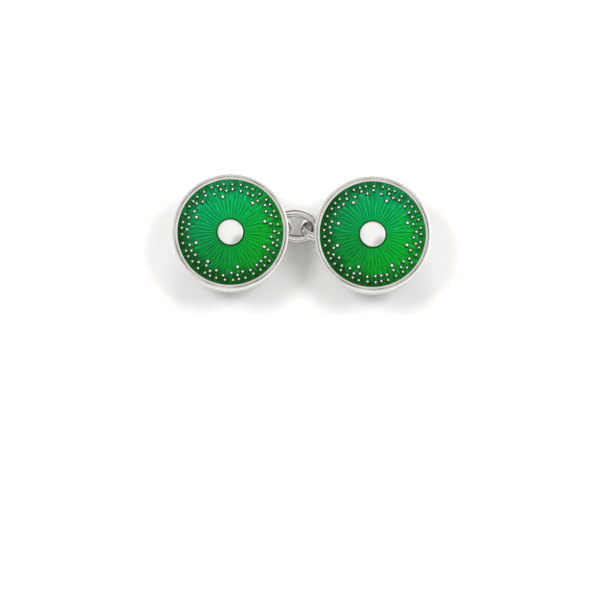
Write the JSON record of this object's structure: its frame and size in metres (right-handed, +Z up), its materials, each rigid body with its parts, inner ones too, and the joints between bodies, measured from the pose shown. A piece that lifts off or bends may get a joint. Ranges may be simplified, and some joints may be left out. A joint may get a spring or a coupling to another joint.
{
  "type": "chain-link cufflink",
  "caption": "Double-sided cufflink: round polished silver faces with green enamel over a sunburst, joined by a short chain of wire links that passes through a cuff.",
  "frame": {"origin": "on the table under the middle of the whole cufflink, lying with both faces up", "axes": "+X along the chain from the left face to the right face, +Z up out of the faces"},
  "size_m": [0.0354, 0.0162, 0.0079],
  "materials": {
    "polished_silver": "mirror-polished silver",
    "engraved_silver": "bright-cut silver, engine-turned in rays",
    "plain_silver": "silver with a fine satin polish",
    "green_enamel": "glossy translucent vitreous enamel"
  },
  "bodies": {
    "middle_link": {"middle_link": "polished_silver"},
    "left_link": {"left_link": "polished_silver"},
    "left_face": {"left_rim_ring": "polished_silver", "left_back_plate": "plain_silver", "left_bearer_ring": "plain_silver", "left_dial_tray": "engraved_silver", "left_enamel": "green_enamel", "left_pips": "polished_silver", "left_centre_stud": "polished_silver", "left_stud_washer": "plain_silver", "left_eye": "polished_silver"},
    "right_link": {"right_link": "polished_silver"},
    "right_face": {"right_rim_ring": "polished_silver", "right_back_plate": "plain_silver", "right_bearer_ring": "plain_silver", "right_dial_tray": "engraved_silver", "right_enamel": "green_enamel", "right_pips": "polished_silver", "right_centre_stud": "polished_silver", "right_stud_washer": "plain_silver", "right_eye": "polished_silver"}
  },
  "joints": [
    {"name": "left_link_swing", "type": "hinge", "parent": "middle_link", "child": "left_link", "pos_m": [-0.00344, 0.00188, 0.00209], "axis": [0.0982, 0.9345, 0.342], "range_deg": [-20, 20]},
    {"name": "left_face_swing", "type": "hinge", "parent": "left_link", "child": "left_face", "pos_m": [-0.01043, 0, 0.00209], "axis": [0.1967, -0.9805, 0], "range_deg": [0, 150]},
    {"name": "right_link_swing", "type": "hinge", "parent": "middle_link", "child": "right_link", "pos_m": [0.00036, 0.00148, 0.00209], "axis": [-0.1215, -0.6966, 0.7071], "range_deg": [-25, 25]},
    {"name": "right_face_swing", "type": "hinge", "parent": "right_link", "child": "right_face", "pos_m": [0.00897, -0.00002, 0.00209], "axis": [0.1718, 0.9851, 0], "range_deg": [0, 150]}
  ]
}
